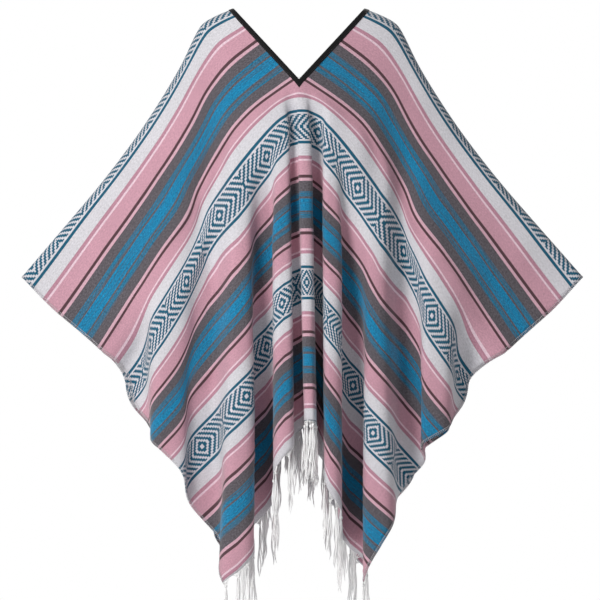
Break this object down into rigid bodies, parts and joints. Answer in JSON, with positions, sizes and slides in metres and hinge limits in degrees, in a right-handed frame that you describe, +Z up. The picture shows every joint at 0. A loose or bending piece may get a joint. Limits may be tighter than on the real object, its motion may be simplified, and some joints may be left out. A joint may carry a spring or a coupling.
{
  "type": "serape poncho",
  "caption": "Striped woven poncho with an open V neck, open sides and fringed hems, worn form, hollow for a wearer.",
  "frame": {"origin": "the middle of the neck at shoulder level, where the wearer's shoulders hold the cloth", "axes": "+Z up out of the neck, front towards -Y, the wearer's left arm towards +X"},
  "size_m": [1.0096, 0.3147, 1.1284],
  "materials": {
    "woven_cloth": "matt striped plain weave in pink, white, grey and blue",
    "black_tape": "matt black woven tape",
    "fringe_yarn": "matt off-white yarn"
  },
  "bodies": {
    "root": {"serape_cloth": "woven_cloth", "neck_binding": "black_tape", "fringe_front": "fringe_yarn", "fringe_back": "fringe_yarn"}
  },
  "joints": []
}
